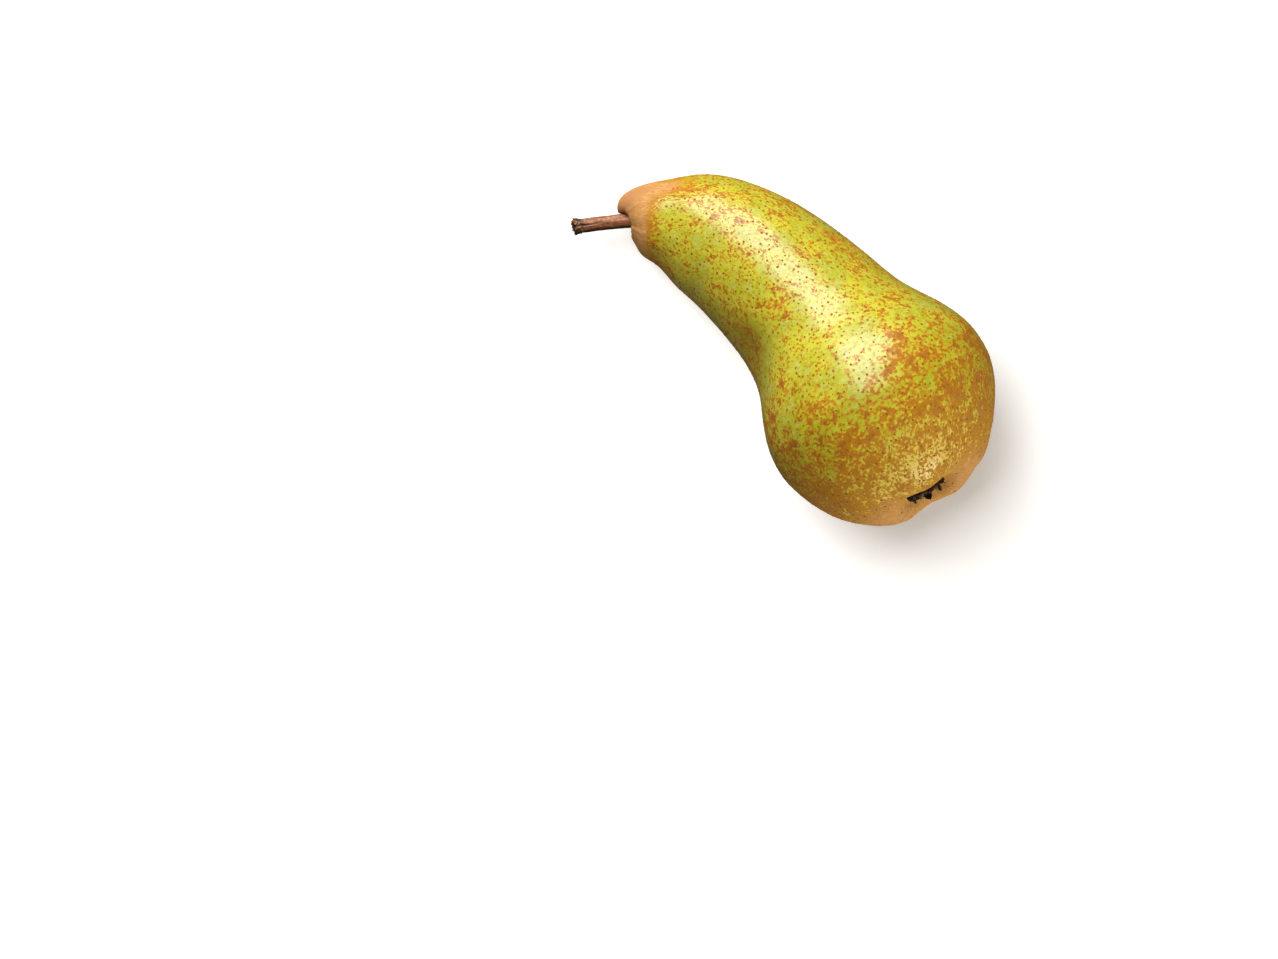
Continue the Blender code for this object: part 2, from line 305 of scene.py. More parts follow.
def with_ends(values):
    """Adds the values of a ring mesh's two end points to those of its rings."""
    flat = values.reshape(-1, *values.shape[2:])
    ends = (values[0].mean(axis=0), values[-1].mean(axis=0))
    return np.concatenate([flat, ends])


def cloud(points, size, octaves, seed=0.0):
    """Returns soft noise of this feature size, from about -1 to 1, at each point."""
    places = points / size + seed
    return np.array([noise.fractal(Vector(place), 1.0, 2.0, octaves) for place in places])


core = CoreLine()
skin_s, skin_phi, skin_along, skin_grown_s, skin_radius = skin_rings()
skin_points = core.place(skin_grown_s, skin_radius, skin_phi)

# The design's own box says where the fruit lies.
cad_low, cad_high = (np.array(corner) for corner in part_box("fruit"))
skin_low = skin_points.min(axis=(0, 1))
skin_high = skin_points.max(axis=(0, 1))
pear_shift = 0.5 * (cad_low + cad_high - skin_low - skin_high)
pear_shift[2] = cad_high[2] - skin_high[2]
core.point += pear_shift
skin_points = skin_points + pear_shift

skin_mesh = mesh_of_rings("skin", skin_points)

skin_growth = np.stack(
    [GROWTH_RADIUS * np.cos(skin_phi), GROWTH_RADIUS * np.sin(skin_phi), skin_along], axis=-1
)
skin_growth = with_ends(skin_growth)
skin_s_flat = with_ends(skin_s)
skin_phi_flat = with_ends(skin_phi)

# Low relief: an uneven surface all over, puckers round the eye, and wrinkles round the stem.
UNEVEN_SIZE = 13.0 * MM
UNEVEN_HEIGHT = 0.16 * MM
DIMPLE_SIZE = 3.2 * MM
DIMPLE_HEIGHT = 0.022 * MM
PUCKERS = 17
PUCKER_HEIGHT = 0.05 * MM
PUCKER_LENGTH = 14.0 * MM
PUCKERS_FULL_AT = BASIN_FLOOR + 4.0 * MM
WRINKLES = 13
WRINKLE_HEIGHT = 0.06 * MM
WRINKLE_LENGTH = 7.0 * MM

near_eye = ease(1.0 - (PUCKERS_FULL_AT - skin_s_flat) / PUCKER_LENGTH)
near_stem = ease(1.0 - skin_s_flat / WRINKLE_LENGTH)
swelling = cloud(skin_growth, UNEVEN_SIZE, 2)
relief = UNEVEN_HEIGHT * swelling
relief += DIMPLE_HEIGHT * cloud(skin_growth, DIMPLE_SIZE, 2, 7.0)
relief += PUCKER_HEIGHT * near_eye * np.sin(PUCKERS * skin_phi_flat + 2.5 * swelling)
relief += WRINKLE_HEIGHT * near_stem * np.sin(WRINKLES * skin_phi_flat + 3.0 * swelling)
normals = read_vectors(skin_mesh.vertex_normals, "vector")
skin_surface = read_vectors(skin_mesh.vertices) + relief[:, None] * normals


def settle(height):
    """Presses what would reach below the surface flat, with a soft edge."""
    share = np.clip(0.5 + 0.5 * height / FLAT_EDGE, 0.0, 1.0)
    return height * share + FLAT_EDGE * share * (1.0 - share)


skin_surface[:, 2] = settle(skin_surface[:, 2])
write_points(skin_mesh, skin_surface)

# Where the russet is: the share of the skin that it covers, as soft patches that are added to
# a slow change along the fruit, to what its flanks have more of and to a slow drift. More than
# 1 is thick and closed. Each patch is (s, degrees round, length, width, amount), lengths in mm.
RUSSET_DRIFT = 0.06
RUSSET_DRIFT_SIZE = 17.0 * MM
RUSSET_ALONG = (
    (0.0, 2.4), (3.0, 1.8), (5.5, 0.95), (9.0, 0.42), (15.0, 0.20), (50.0, 0.20), (62.0, 0.30),
    (74.0, 0.18), (86.0, 0.22), (95.0, 0.42), (103.0, 0.65), (112.0, 0.85), (126.0, 1.0),
    (131.0, 1.5), (140.0, 2.2),
)
RUSSET_ON_FLANKS = 0.22
RUSSET_PATCHES = (
    (8.0, 38.0, 7.0, 9.0, 1.30),
    (20.0, 64.0, 8.0, 6.0, 0.25),
    (9.0, 165.0, 7.0, 8.0, 0.30),
    (30.0, 8.0, 7.0, 6.0, 0.30),
    (28.0, 128.0, 5.0, 5.0, 0.12),
    (36.0, 84.0, 4.0, 5.0, 0.14),
    (58.0, 146.0, 9.0, 8.0, 0.42),
    (62.0, 106.0, 4.0, 4.5, 0.30),
    (56.0, 34.0, 9.0, 7.0, 0.22),
    (70.0, 20.0, 8.0, 9.0, 0.24),
    (72.0, 115.0, 6.0, 8.0, -0.10),
    (80.0, 152.0, 5.0, 8.0, -0.22),
    (84.0, 136.0, 3.5, 4.0, 0.25),
    (90.0, 168.0, 7.0, 7.0, 0.22),
    (92.0, 62.0, 6.0, 8.0, 0.12),
    (98.0, 121.0, 4.5, 6.0, 0.28),
    (101.0, 100.0, 6.0, 6.0, -0.12),
    (100.0, 66.0, 5.0, 7.0, 0.18),
    (102.0, 136.0, 5.0, 6.0, -0.26),
    (113.0, 84.0, 6.0, 7.0, -0.16),
    (112.0, 134.0, 5.0, 6.0, -0.08),
    (24.0, 76.0, 5.0, 7.0, 0.12),
    (9.5, 98.0, 4.5, 8.0, -0.35),
    (129.0, 88.0, 5.5, 24.0, -0.66),
    (52.0, 86.0, 14.0, 6.0, -0.24),
    (80.0, 88.0, 14.0, 7.0, -0.28),
    (97.0, 98.0, 6.0, 7.0, -0.18),
)
# Painted shade, as patches too: the lower flank, which faces away from the lamps, and the underside of
# the tip are darkened towards olive.
PAINTED_SHADE_PATCHES = (
    (62.0, 141.0, 12.0, 9.0, 0.60),
    (5.0, 162.0, 9.0, 9.0, 0.30),
)


def patches_of(patches, s, phi):
    """Adds up soft patches at each point."""
    total = np.zeros_like(s)
    for at, degrees, length, width, amount in patches:
        around = (phi - np.radians(degrees) + np.pi) % (2.0 * np.pi) - np.pi
        across = around * GROWTH_RADIUS / (width * MM)
        total = total + amount * np.exp(-(((s / MM - at) / length) ** 2) - across**2)
    return total


def coverage(s, phi, growth):
    """Returns how much of the skin the russet covers at each point."""
    covered = np.interp(s / MM, *np.array(RUSSET_ALONG).T)
    covered = covered + RUSSET_ON_FLANKS * np.abs(np.cos(phi)) ** 3
    covered = covered + patches_of(RUSSET_PATCHES, s, phi)
    return covered + RUSSET_DRIFT * cloud(growth, RUSSET_DRIFT_SIZE, 2, 3.0)


write_attribute(skin_mesh, "growth", skin_growth)
write_attribute(skin_mesh, "russet", coverage(skin_s_flat, skin_phi_flat, skin_growth))
# The painted shade's patches are stored as their own attribute.
write_attribute(skin_mesh, "painted_shade", patches_of(PAINTED_SHADE_PATCHES, skin_s_flat, skin_phi_flat))

GREEN_DEEP = (0.400, 0.420, 0.008)
GREEN = (0.520, 0.520, 0.020)
GREEN_PALE = (0.550, 0.485, 0.135)
RUSSET_GOLD = (0.560, 0.335, 0.022)
RUSSET = (0.450, 0.170, 0.008)
RUSSET_DARK = (0.290, 0.090, 0.005)
TAN_DEEP = (0.430, 0.170, 0.036)
TAN = (0.640, 0.355, 0.120)
# Partly the closed russet's own colour and partly painted shade near the stem and in the calyx's basin.
TAN_CLOSED_AND_SHADE = (0.480, 0.220, 0.080)
# The colour of the painted shade on the lower flank and under the tip.
PAINTED_SHADE_OLIVE = (0.140, 0.095, 0.006)
GOLDEN = (0.800, 0.560, 0.100)
# Painted shade in the crease round the stem.
CREASE_SHADE_BROWN = (0.080, 0.028, 0.010)

# How far along the skin, from the bottom of the stem's socket, the calyx end turns golden and the
# crease round the stem is painted dark as the shade that falls in it.
GOLDEN_FROM = 125.0 * MM
GOLDEN_AT = 150.0 * MM
CREASE_SHADE_FROM = 6.2 * MM
CREASE_SHADE_TO = 7.8 * MM

# The sizes of the skin's patterns, and the depths of its relief and of the glow in its flesh.
BROAD_SIZE = 9.0 * MM
PATCH_SIZE = 2.7 * MM
FLECK_SIZE = 0.9 * MM
STREAK_SIZE = 0.7 * MM
HALO_SPACING = 1.9 * MM
PEEL_SIZE = 1.3 * MM
CORK_SIZE = 0.45 * MM
SKIN_BUMP = 0.035 * MM
FLESH_GLOW_DEPTH = 1.5 * MM


def new_material(name):
    """Returns a material with its tree and its shader."""
    material = bpy.data.materials.new(name)
    material.use_nodes = True
    return material, material.node_tree, material.node_tree.nodes["Principled BSDF"]


def set_inputs(tree, node, inputs):
    """Sets or links each named or numbered input of a node."""
    for name, value in dict(inputs).items():
        socket = node.inputs[name]
        if isinstance(value, bpy.types.NodeSocket):
            tree.links.new(value, socket)
        else:
            socket.default_value = (*value, 1.0) if socket.type == "RGBA" else value


def add_node(tree, kind, inputs=(), **settings):
    """Adds a node with these settings and inputs."""
    node = tree.nodes.new(kind)
    for name, value in settings.items():
        setattr(node, name, value)
    set_inputs(tree, node, inputs)
    return node


def value_of(tree, kind, inputs=(), **settings):
    """Adds a node and returns its first result."""
    return add_node(tree, kind, inputs, **settings).outputs[0]


def noise_of(tree, place, size, detail, roughness=0.55, distortion=0.0):
    """Adds noise of this feature size and returns its value."""
    inputs = {"Vector": place, "Scale": 1.0 / size, "Detail": detail}
    inputs.update({"Roughness": roughness, "Distortion": distortion})
    return value_of(tree, "ShaderNodeTexNoise", inputs)


def attribute_of(tree, name, output="Fac"):
    """Reads what a mesh stores under this name."""
    return add_node(tree, "ShaderNodeAttribute", attribute_name=name).outputs[output]


def math_of(tree, operation, *values):
    """Works out one operation on plain or linked numbers."""
    return value_of(tree, "ShaderNodeMath", dict(enumerate(values)), operation=operation)


def sum_of(tree, *terms):
    """Adds up (share, value) terms; a term with no value is a plain number."""
    total = None
    for share, value in terms:
        if total is None:
            total = math_of(tree, "MULTIPLY", value, share)
        elif value is None:
            total = math_of(tree, "ADD", total, share)
        else:
            total = math_of(tree, "MULTIPLY_ADD", value, share, total)
    return total


def product(tree, first, second):
    return math_of(tree, "MULTIPLY", first, second)


def step_of(tree, value, low, high, start=0.0, end=1.0):
    """Turns a value smoothly from start, at low, to end, at high."""
    inputs = {0: value, 1: low, 2: high, 3: start, 4: end}
    return value_of(tree, "ShaderNodeMapRange", inputs, interpolation_type="SMOOTHSTEP")


def mixed(tree, share, first, second):
    """Mixes two colours."""
    mix = add_node(tree, "ShaderNodeMix", {0: share, 6: first, 7: second}, data_type="RGBA")
    return mix.outputs[2]


def bump_of(tree, height, strength, distance):
    """Turns a height into the normal of a fine relief."""
    inputs = {"Height": height, "Strength": strength, "Distance": distance}
    return value_of(tree, "ShaderNodeBump", inputs)


def skin_material():
    """Waxy yellow-green skin under dull russet flecks, and a tan where the russet is thick."""
    material, tree, shader = new_material("pear_skin")
    place = attribute_of(tree, "growth", "Vector")
    cover = attribute_of(tree, "russet")

    # Flecks of three sizes; the russet is where their sum is above nought.
    broad = noise_of(tree, place, BROAD_SIZE, 2.0)
    patchy = noise_of(tree, place, PATCH_SIZE, 3.0, 0.6, 0.4)
    flecked = noise_of(tree, place, FLECK_SIZE, 3.0, 0.6)
    amount = sum_of(tree, (1.0, broad), (1.5, patchy), (2.3, flecked), (-2.65, None), (0.5, cover))
    russet = step_of(tree, amount, -0.05, 0.06)
    ragged = sum_of(tree, (1.0, cover), (1.6, patchy), (1.2, flecked), (-1.4, None))
    thick = step_of(tree, ragged, 0.95, 1.8)

    # The bare skin is palest farthest from any fleck, and turns golden at the calyx end.
    green = mixed(tree, step_of(tree, broad, 0.35, 0.62), GREEN_DEEP, GREEN)
    green = mixed(tree, step_of(tree, amount, -0.75, -0.15), GREEN_PALE, green)
    along = add_node(tree, "ShaderNodeSeparateXYZ", {0: place}).outputs["Z"]
    golden = step_of(tree, along, GOLDEN_FROM, GOLDEN_AT, 0.0, 0.85)
    green = mixed(tree, golden, green, GOLDEN)

    # The russet is darker in patches; where it is thick, it is a streaked tan. Where it is closed, near
    # the stem and in the calyx's basin, the tan is darker: partly its own colour, partly painted shade
    # in these hollows.
    brown = mixed(tree, step_of(tree, amount, -0.05, 0.30), RUSSET_GOLD, RUSSET)
    brown = mixed(tree, step_of(tree, patchy, 0.5, 0.7, 0.0, 0.7), brown, RUSSET_DARK)
    brown = mixed(tree, product(tree, golden, 0.25), brown, RUSSET_GOLD)
    streaked = value_of(tree, "ShaderNodeMapping", {"Vector": place, "Scale": (1.0, 1.0, 0.45)})
    streaks = noise_of(tree, streaked, STREAK_SIZE, 4.0, 0.7)
    tan = mixed(tree, step_of(tree, streaks, 0.32, 0.66), TAN_DEEP, TAN)
    tan = mixed(tree, step_of(tree, cover, 2.0, 2.7, 0.0, 1.0), tan, TAN_CLOSED_AND_SHADE)
    brown = mixed(tree, thick, brown, tan)
    colour = mixed(tree, russet, green, brown)

    # Soft brown spots on the skin that is not thickly russeted, then the painted shade: the olive
    # patches on the lower flank and under the tip, and the dark crease round the stem.
    cells = {"Vector": place, "Scale": 1.0 / HALO_SPACING, "Randomness": 0.9}
    cells = add_node(tree, "ShaderNodeTexVoronoi", cells).outputs["Distance"]
    bare = sum_of(tree, (-1.0, thick), (1.0, None))
    halo = product(tree, step_of(tree, cells, 0.16, 0.40, 0.6, 0.0), bare)
    colour = mixed(tree, halo, colour, RUSSET)
    colour = mixed(tree, attribute_of(tree, "painted_shade"), colour, PAINTED_SHADE_OLIVE)
    # Painted shade in the crease round the stem.
    crease = step_of(tree, along, CREASE_SHADE_FROM, CREASE_SHADE_TO, 0.9, 0.0)
    colour = mixed(tree, crease, colour, CREASE_SHADE_BROWN)

    # The green skin is waxy; the russet and the golden end are dull.
    dull = sum_of(tree, (0.16, russet), (0.12, golden), (0.12, thick), (0.38, None))
    closed = product(tree, russet, step_of(tree, cover, 0.35, 0.70))
    unwaxed = ((-0.25, russet), (-0.45, closed), (-0.45, golden), (-0.20, thick))
    wax = value_of(tree, "ShaderNodeClamp", {0: sum_of(tree, *unwaxed, (0.74, None))})
    peel = noise_of(tree, place, PEEL_SIZE, 2.0)
    cork = noise_of(tree, place, CORK_SIZE, 2.0, 0.7)
    height = sum_of(tree, (0.6, peel), (0.3, product(tree, cork, russet)), (0.2, russet))
    look = {
        "Base Color": colour, "Roughness": dull, "Specular IOR Level": 0.15,
        "Coat Weight": wax, "Coat Roughness": 0.27, "Subsurface Weight": 0.04,
        "Subsurface Radius": (1.0, 0.6, 0.15), "Subsurface Scale": FLESH_GLOW_DEPTH,
        "Normal": bump_of(tree, height, 0.5, SKIN_BUMP),
    }
    set_inputs(tree, shader, look)
    return material


skin_mesh.materials.append(skin_material())
skin = placed("skin", skin_mesh)
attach(skin, "root")
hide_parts("fruit")

# --------------------------------------
# Lenticels: the corky breathing pores of the skin, low orange-brown domes half a millimetre to
# a millimetre across. They grew in the skin all over the fruit, fewer where the russet is
# thick, and they are one mesh.

LENTICELS_FADE_FROM = 1.0  # of the russet's cover
LENTICELS_GONE_AT = 1.7
LENTICEL_SEGMENTS = 7
LENTICEL_RINGS = 3
LENTICEL_WEAR_SIZE = 0.8 * MM
LENTICEL_DARK = (0.330, 0.105, 0.008)
LENTICEL_RIM = (0.420, 0.170, 0.015)


# The kind of input that takes each kind of value.
INPUT_KINDS = ((int, "Int"), (float, "Float"), (tuple, "Vector"), (bpy.types.Material, "Material"))


def grow_mesh(name, start, grow, **values):
    """Runs a geometry tree on a copy of a mesh or a curve and returns the result as a new object.

    The tree has an input for each value. grow adds the tree's nodes and returns their geometry;
    its copies are then made real, and it takes the material.
    """
    tree = bpy.data.node_groups.new(name, "GeometryNodeTree")
    tree.interface.new_socket("Geometry", in_out="INPUT", socket_type="NodeSocketGeometry")
    tree.interface.new_socket("Geometry", in_out="OUTPUT", socket_type="NodeSocketGeometry")
    keys = {}
    for key, value in values.items():
        kind = next("NodeSocket" + kind for made, kind in INPUT_KINDS if isinstance(value, made))
        keys[key] = tree.interface.new_socket(key, in_out="INPUT", socket_type=kind).identifier
    given = tree.nodes.new("NodeGroupInput").outputs
    real = value_of(tree, "GeometryNodeRealizeInstances", {"Geometry": grow(tree, given)})
    done = {"Geometry": real, "Material": given["material"]}
    done = value_of(tree, "GeometryNodeSetMaterial", done)
    tree.links.new(done, tree.nodes.new("NodeGroupOutput").inputs["Geometry"])

    worker = placed(name, start.copy())
    modifier = worker.modifiers.new(name, "NODES")
    modifier.node_group = tree
    for key, value in values.items():
        modifier[keys[key]] = value
    bpy.context.view_layer.update()
    evaluated = worker.evaluated_get(bpy.context.evaluated_depsgraph_get())
    mesh = bpy.data.meshes.new_from_object(evaluated)
    bpy.data.objects.remove(worker)
    mesh.name = name
    return placed(name, mesh)


def stored(tree, geometry, name, value, kind="FLOAT"):
    """Stores a value at each point under this name."""
    inputs = {"Geometry": geometry, "Name": name, "Value": value}
    kinds = {"data_type": kind, "domain": "POINT"}
    return value_of(tree, "GeometryNodeStoreNamedAttribute", inputs, **kinds)


def named(tree, name, kind="FLOAT"):
    """Reads what is stored at each point under this name."""
    return value_of(tree, "GeometryNodeInputNamedAttribute", {"Name": name}, data_type=kind)


def copied_on(tree, given, points, instance, turn):
    """Sets a turned copy of the instance at each point, each of its own size."""
    sizes = {2: given["smallest"], 3: given["largest"], "Seed": given["seed"]}
    size = add_node(tree, "FunctionNodeRandomValue", sizes, data_type="FLOAT").outputs[1]
    inputs = {"Points": points, "Instance": instance, "Rotation": turn, "Scale": size}
    return value_of(tree, "GeometryNodeInstanceOnPoints", inputs)


def grow_lenticels(tree, given):
    """Scatters flat domes over the skin, no two closer than their spacing."""
    fade = {0: named(tree, "russet"), 1: LENTICELS_FADE_FROM, 2: LENTICELS_GONE_AT, 3: 1.0, 4: 0.0}
    spread = {"Mesh": given["Geometry"], "Distance Min": given["spacing"], "Seed": given["seed"]}
    spread["Density Max"] = given["density"]
    spread["Density Factor"] = value_of(tree, "ShaderNodeMapRange", fade)
    scatter = {"distribute_method": "POISSON"}
    spots = add_node(tree, "GeometryNodeDistributePointsOnFaces", spread, **scatter).outputs
    ball = {"Segments": LENTICEL_SEGMENTS, "Rings": LENTICEL_RINGS, "Radius": given["radius"]}
    ball = add_node(tree, "GeometryNodeMeshUVSphere", ball).outputs["Mesh"]
    here = value_of(tree, "GeometryNodeInputPosition")
    height = add_node(tree, "ShaderNodeSeparateXYZ", {0: here}).outputs["Z"]
    ball = stored(tree, ball, "crown", math_of(tree, "DIVIDE", height, given["radius"]))
    squeeze = value_of(tree, "ShaderNodeCombineXYZ", {0: 1.0, 1: 1.0, 2: given["flatness"]})
    dome = value_of(tree, "GeometryNodeTransform", {"Geometry": ball, "Scale": squeeze})
    return copied_on(tree, given, spots["Points"], dome, spots["Rotation"])


def lenticel_material():
    """Dull cork, orange-brown at a dome's edge and darker on its crown."""
    material, tree, shader = new_material("lenticel_cork")
    crown = attribute_of(tree, "crown")
    place = add_node(tree, "ShaderNodeTexCoord").outputs["Object"]
    worn = noise_of(tree, place, LENTICEL_WEAR_SIZE, 2.0)
    share = sum_of(tree, (1.0, crown), (0.6, worn), (-0.3, None))
    colour = mixed(tree, step_of(tree, share, 0.05, 0.55), LENTICEL_RIM, LENTICEL_DARK)
    set_inputs(tree, shader, {"Base Color": colour, "Roughness": 0.8, "Specular IOR Level": 0.15})
    return material


lenticels = grow_mesh(
    "lenticels", skin_mesh, grow_lenticels, material=lenticel_material(), seed=11,
    spacing=1.35 * MM,
    density=220000.0,  # to a square metre
    radius=0.40 * MM, flatness=0.20, smallest=0.60, largest=1.25,
)

# Those that the fruit lies on are pressed flat with its skin.
domes = read_vectors(lenticels.data.vertices)
domes[:, 2] = np.maximum(domes[:, 2], 0.0)
write_points(lenticels.data, domes)
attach(lenticels, "root")

# --------------------------------------
# The stem: the woody stalk that the pear hung by, about 4 mm thick. It grew out of the flesh
# beside the lobe. Its bark is ridged and cracked along its length, and it ends in the rough
# knob where it broke off the spur.

STEM_STEPS = 60
STEM_TIP_ROUND = 0.9 * MM
STEM_TIP_TAPER = 0.85
KNOB_SWELL = 0.7  # of the design's knob; its roughness makes up the rest
BARK_LOOSE = 0.18 * MM  # how far the dry bark stands off the wood
CRACK_AT = -0.6 * STEM_LENGTH  # the crack lies square to the core line's side here
# How dark the painted shade makes the bark on the stem's side away from the lamps.
STEM_PAINTED_SHADE = 0.8
BARK_MOTTLE_SIZE = 1.6 * MM
BARK_GRAIN_SIZE = 0.35 * MM
BARK_BUMP = 0.12 * MM

# From the stem's broken end: the torn wood fades out, and the bark is less and less worn.
TORN_TO = 2.4 * MM
TORN_FADED_AT = 5.2 * MM
WORN_FROM = 1.0 * MM
WORN_AT = 14.0 * MM

BARK_DARK = (0.028, 0.013, 0.007)
BARK = (0.290, 0.095, 0.030)
BARK_PINK = (0.620, 0.310, 0.145)
BARK_BLACK = (0.012, 0.008, 0.005)
TORN_WOOD = (0.360, 0.150, 0.045)


def vector_math(tree, operation, first, second):
    """Adds a vector node; the result is a number for a dot product and a vector otherwise."""
    kind = "ShaderNodeVectorMath"
    if operation == "SCALE":
        return value_of(tree, kind, {0: first, "Scale": second}, operation=operation)
    node = add_node(tree, kind, {0: first, 1: second}, operation=operation)
    return node.outputs[1] if operation == "DOT_PRODUCT" else node.outputs[0]


def noise_in(tree, place, size, **values):
    """Adds noise whose feature size is one of the tree's inputs, and returns its value."""
    inputs = {"Vector": place, "Scale": math_of(tree, "DIVIDE", 1.0, size), **values}
    return value_of(tree, "ShaderNodeTexNoise", inputs)


def grow_stem(tree, given):
    """Sweeps a round bar along the stem's path and raises its bark, knob and crack."""
    path = {"Curve": given["Geometry"], "Count": given["rings"]}
    path = value_of(tree, "GeometryNodeResampleCurve", path)
    walked = add_node(tree, "GeometryNodeSplineParameter").outputs["Length"]
    path = stored(tree, path, "along", walked)
    bar = {"Resolution": given["sides"], "Radius": 1.0}
    bar = value_of(tree, "GeometryNodeCurvePrimitiveCircle", bar)
    here = value_of(tree, "GeometryNodeInputPosition")
    bar = stored(tree, bar, "around", here, "FLOAT_VECTOR")
    swept = {"Curve": path, "Profile Curve": bar, "Fill Caps": True}
    swept["Scale"] = value_of(tree, "GeometryNodeInputRadius")
    body = value_of(tree, "GeometryNodeCurveToMesh", swept)

    along = named(tree, "along")
    around = vector_math(tree, "SCALE", named(tree, "around", "FLOAT_VECTOR"), given["girth"])
    drawn = product(tree, along, given["ridge_draw"])
    drawn = value_of(tree, "ShaderNodeCombineXYZ", {2: drawn})
    bark_place = vector_math(tree, "ADD", around, drawn)
    ridge = noise_in(tree, bark_place, given["ridge_width"], Detail=4.0, Roughness=0.6)
    ridge = sum_of(tree, (2.0, ridge), (-1.0, None))
    lump = noise_in(tree, here, given["lump_size"])
    lump = sum_of(tree, (2.0, lump), (-1.0, None))
    to_end = math_of(tree, "SUBTRACT", given["length"], along)
    knobby = step_of(tree, to_end, 0.0, given["knob_length"], 1.0, 0.0)
    rough = noise_in(tree, here, given["knob_lump_size"], Detail=3.0, Roughness=0.7)
    rough = product(tree, sum_of(tree, (1.0, rough), (-0.50, None)), knobby)

    # The crack runs from the knob along the side that faces up.
    normal = value_of(tree, "GeometryNodeInputNormal")
    sideways = vector_math(tree, "DOT_PRODUCT", normal, given["crack_side"])
    sideways = sum_of(tree, (1.0, sideways), (0.12, ridge))
    sideways = math_of(tree, "DIVIDE", sideways, given["crack_width"])
    crack = math_of(tree, "EXPONENT", product(tree, product(tree, sideways, sideways), -1.0))
    upward = vector_math(tree, "DOT_PRODUCT", normal, (0.0, 0.0, 1.0))
    crack = product(tree, crack, step_of(tree, upward, 0.0, 0.5))
    crack = product(tree, crack, step_of(tree, to_end, 0.0, given["crack_length"], 1.0, 0.0))

    raised = product(tree, ridge, given["ridge_height"])
    raised = math_of(tree, "ADD", raised, product(tree, lump, given["lump_height"]))
    raised = math_of(tree, "ADD", raised, product(tree, rough, given["knob_roughness"]))
    raised = math_of(tree, "SUBTRACT", raised, product(tree, crack, given["crack_depth"]))
    body = stored(tree, body, "ridge", ridge)
    body = stored(tree, body, "crack", crack)
    body = stored(tree, body, "to_end", to_end)
    # Painted shade: how far each point faces the side of the stem that the lamps leave dark.
    facing_shade = vector_math(tree, "DOT_PRODUCT", normal, given["dark_side"])
    body = stored(tree, body, "dark_side", step_of(tree, facing_shade, 0.1, 0.8))
    moved = {"Geometry": body, "Offset": vector_math(tree, "SCALE", normal, raised)}
    return value_of(tree, "GeometryNodeSetPosition", moved)


def stem_path():
    """Returns the stem's path, with the thickness at each point, as a curve."""
    foot = STEM_SOCKET_DEPTH - GAP
    along = np.linspace(foot, -STEM_LENGTH, STEM_STEPS)
    swell = 1.0 - ease(-along / STEM_FOOT_LENGTH)
    knob = ease(1.0 - (along + STEM_LENGTH) / STEM_KNOB_LENGTH)
    thick = STEM_RADIUS + (STEM_FOOT_RADIUS - STEM_RADIUS) * swell
    thick = thick + KNOB_SWELL * (STEM_KNOB_RADIUS - STEM_RADIUS) * knob
    thick = thick + BARK_LOOSE * ease(-along / STEM_BEND_LENGTH)
    left = np.clip((along + STEM_LENGTH) / STEM_TIP_ROUND, 0.0, 1.0)
    thick = thick * np.sqrt(1.0 - STEM_TIP_TAPER * (1.0 - left) ** 2)
    places = core.place(along, np.zeros_like(along), np.zeros_like(along))
    curve = bpy.data.curves.new("stem_path", "CURVE")
    curve.dimensions = "3D"
    spline = curve.splines.new("POLY")
    spline.points.add(len(places) - 1)
    for point, place, radius in zip(spline.points, places, thick):
        point.co = (*place, 1.0)
        point.radius = radius
    return curve


def bark_material():
    """Dry red-brown bark, pinker on its ridges, with a black crack, a dark, torn knob and painted shade
    on one side.
    """
    material, tree, shader = new_material("pear_bark")
    to_end = attribute_of(tree, "to_end")
    place = add_node(tree, "ShaderNodeTexCoord").outputs["Object"]
    mottled = noise_of(tree, place, BARK_MOTTLE_SIZE, 4.0, 0.65)
    fine = noise_of(tree, place, BARK_GRAIN_SIZE, 3.0, 0.7)
    share = sum_of(tree, (0.45, attribute_of(tree, "ridge")), (0.9, mottled), (0.35, fine))
    colour = mixed(tree, step_of(tree, share, 0.30, 0.62), BARK_DARK, BARK)
    worn = step_of(tree, to_end, WORN_FROM, WORN_AT, 1.0, 0.6)
    colour = mixed(tree, product(tree, step_of(tree, share, 0.62, 0.90), worn), colour, BARK_PINK)
    # Painted shade on the side of the stem away from the lamps.
    shadowed = product(tree, attribute_of(tree, "dark_side"), STEM_PAINTED_SHADE)
    colour = mixed(tree, shadowed, colour, BARK_DARK)
    colour = mixed(tree, step_of(tree, attribute_of(tree, "crack"), 0.10, 0.55), colour, BARK_BLACK)
    grain = sum_of(tree, (0.6, mottled), (0.4, fine))
    torn = mixed(tree, step_of(tree, grain, 0.44, 0.62), BARK_BLACK, TORN_WOOD)
    knobby = step_of(tree, to_end, TORN_TO, TORN_FADED_AT, 1.0, 0.0)
    weathered = sum_of(tree, (1.0, knobby), (0.9, mottled))
    colour = mixed(tree, step_of(tree, weathered, 0.90, 1.25), colour, torn)
    bump = bump_of(tree, grain, 0.6, BARK_BUMP)
    set_inputs(tree, shader, {"Base Color": colour, "Roughness": 0.55, "Normal": bump})
    return material


